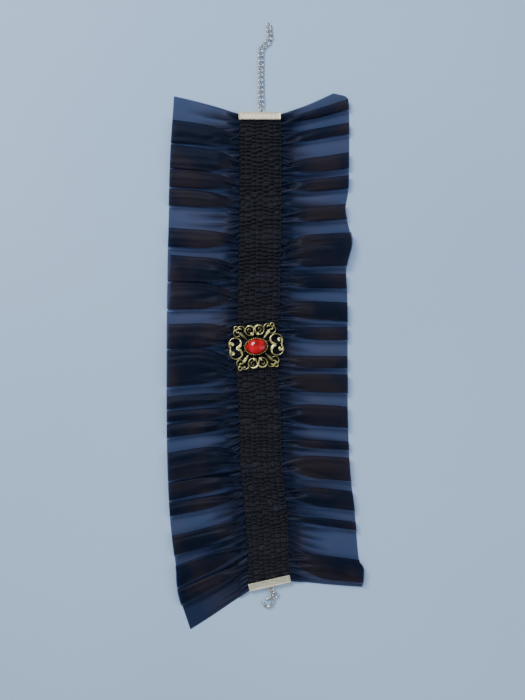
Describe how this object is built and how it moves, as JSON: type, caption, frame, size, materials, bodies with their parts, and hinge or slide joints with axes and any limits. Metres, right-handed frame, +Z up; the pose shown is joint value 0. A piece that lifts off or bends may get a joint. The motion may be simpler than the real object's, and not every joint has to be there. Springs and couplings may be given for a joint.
{
  "type": "ruffled choker collar",
  "caption": "Ruffled choker collar of see-through cloth, shirred down the middle, with metal ends, an extension chain, a clasp and a stone ornament, lying flat.",
  "frame": {"origin": "on the flat underside of the shirred band, below the middle of the ornament", "axes": "+Y along the band towards the extension chain, +X across the band towards the right ruffle, +Z up from the surface it lies on"},
  "size_m": [0.1154, 0.3564, 0.0075],
  "materials": {
    "organza": "see-through, slightly glossy",
    "shirring": "matt, crinkled",
    "nickel": "brushed nickel plate",
    "silver": "bright plate",
    "bronze": "antique bronze plate",
    "stone": "polished, faceted"
  },
  "bodies": {
    "root": {"band": "shirring", "ruffle_left": "organza", "ruffle_right": "organza", "crimp_top": "nickel", "crimp_bottom": "nickel", "filigree": "bronze", "stone": "stone"},
    "ring_top": {"ring_top": "silver"},
    "link_01": {"link_01": "silver"},
    "link_02": {"link_02": "silver"},
    "link_03": {"link_03": "silver"},
    "link_04": {"link_04": "silver"},
    "link_05": {"link_05": "silver"},
    "link_06": {"link_06": "silver"},
    "link_07": {"link_07": "silver"},
    "link_08": {"link_08": "silver"},
    "link_09": {"link_09": "silver"},
    "link_10": {"link_10": "silver"},
    "link_11": {"link_11": "silver"},
    "link_12": {"link_12": "silver"},
    "link_13": {"link_13": "silver"},
    "link_14": {"link_14": "silver"},
    "link_15": {"link_15": "silver"},
    "link_16": {"link_16": "silver"},
    "link_17": {"link_17": "silver"},
    "ring_bottom": {"ring_bottom": "silver"},
    "clasp_body": {"clasp_body": "silver"},
    "clasp_lever": {"clasp_lever": "silver"}
  },
  "joints": [
    {"name": "swing_ring_top", "type": "hinge", "parent": "root", "child": "ring_top", "pos_m": [0.0029, 0.13925, 0.0017], "axis": [0, 0, 1], "range_deg": [-8, 8]},
    {"name": "swing_link_01", "type": "hinge", "parent": "ring_top", "child": "link_01", "pos_m": [0.00259, 0.14244, 0.0016], "axis": [0, 0, 1], "range_deg": [-6.5, 8]},
    {"name": "swing_link_02", "type": "hinge", "parent": "link_01", "child": "link_02", "pos_m": [0.00259, 0.14538, 0.00146], "axis": [0, 0, 1], "range_deg": [-6.5, 8]},
    {"name": "swing_link_03", "type": "hinge", "parent": "link_02", "child": "link_03", "pos_m": [0.00253, 0.14833, 0.00132], "axis": [0, 0, 1], "range_deg": [-6.5, 8]},
    {"name": "swing_link_04", "type": "hinge", "parent": "link_03", "child": "link_04", "pos_m": [0.00253, 0.15128, 0.00118], "axis": [0, 0, 1], "range_deg": [-6.5, 8]},
    {"name": "swing_link_05", "type": "hinge", "parent": "link_04", "child": "link_05", "pos_m": [0.00259, 0.15423, 0.00104], "axis": [0, 0, 1], "range_deg": [-6.5, 8]},
    {"name": "swing_link_06", "type": "hinge", "parent": "link_05", "child": "link_06", "pos_m": [0.00259, 0.15718, 0.00093], "axis": [0, 0, 1], "range_deg": [-6.5, 8]},
    {"name": "swing_link_07", "type": "hinge", "parent": "link_06", "child": "link_07", "pos_m": [0.00253, 0.16013, 0.00093], "axis": [0, 0, 1], "range_deg": [-6.5, 8]},
    {"name": "swing_link_08", "type": "hinge", "parent": "link_07", "child": "link_08", "pos_m": [0.00253, 0.16308, 0.00093], "axis": [0, 0, 1], "range_deg": [-6.5, 8]},
    {"name": "swing_link_09", "type": "hinge", "parent": "link_08", "child": "link_09", "pos_m": [0.00253, 0.16603, 0.00093], "axis": [0, 0, 1], "range_deg": [-6.5, 8]},
    {"name": "swing_link_10", "type": "hinge", "parent": "link_09", "child": "link_10", "pos_m": [0.00248, 0.16898, 0.00093], "axis": [0, 0, 1], "range_deg": [-6.5, 8]},
    {"name": "swing_link_11", "type": "hinge", "parent": "link_10", "child": "link_11", "pos_m": [0.00253, 0.17193, 0.00093], "axis": [0, 0, 1], "range_deg": [-6.5, 8]},
    {"name": "swing_link_12", "type": "hinge", "parent": "link_11", "child": "link_12", "pos_m": [0.00259, 0.17488, 0.00093], "axis": [0, 0, 1], "range_deg": [-6.5, 8]},
    {"name": "swing_link_13", "type": "hinge", "parent": "link_12", "child": "link_13", "pos_m": [0.00397, 0.17749, 0.00093], "axis": [0, 0, 1], "range_deg": [-6.5, 8]},
    {"name": "swing_link_14", "type": "hinge", "parent": "link_13", "child": "link_14", "pos_m": [0.00645, 0.17909, 0.00093], "axis": [0, 0, 1], "range_deg": [-6.5, 8]},
    {"name": "swing_link_15", "type": "hinge", "parent": "link_14", "child": "link_15", "pos_m": [0.00783, 0.1817, 0.00093], "axis": [0, 0, 1], "range_deg": [-6.5, 8]},
    {"name": "swing_link_16", "type": "hinge", "parent": "link_15", "child": "link_16", "pos_m": [0.00783, 0.18465, 0.00093], "axis": [0, 0, 1], "range_deg": [-6.5, 8]},
    {"name": "swing_link_17", "type": "hinge", "parent": "link_16", "child": "link_17", "pos_m": [0.00737, 0.18756, 0.00093], "axis": [0, 0, 1], "range_deg": [-6.5, 8]},
    {"name": "swing_ring_bottom", "type": "hinge", "parent": "root", "child": "ring_bottom", "pos_m": [0.00848, -0.14121, 0.0017], "axis": [0, 0, 1], "range_deg": [-15, 15]},
    {"name": "swing_clasp", "type": "hinge", "parent": "ring_bottom", "child": "clasp_body", "pos_m": [0.01064, -0.14408, 0.0017], "axis": [0, 0, 1], "range_deg": [-15, 45]},
    {"name": "open_lever", "type": "hinge", "parent": "clasp_body", "child": "clasp_lever", "pos_m": [0.00871, -0.14615, 0.0017], "axis": [0, 0, 1], "range_deg": [0, 25], "stiffness_Nm_per_rad": 0.01}
  ]
}
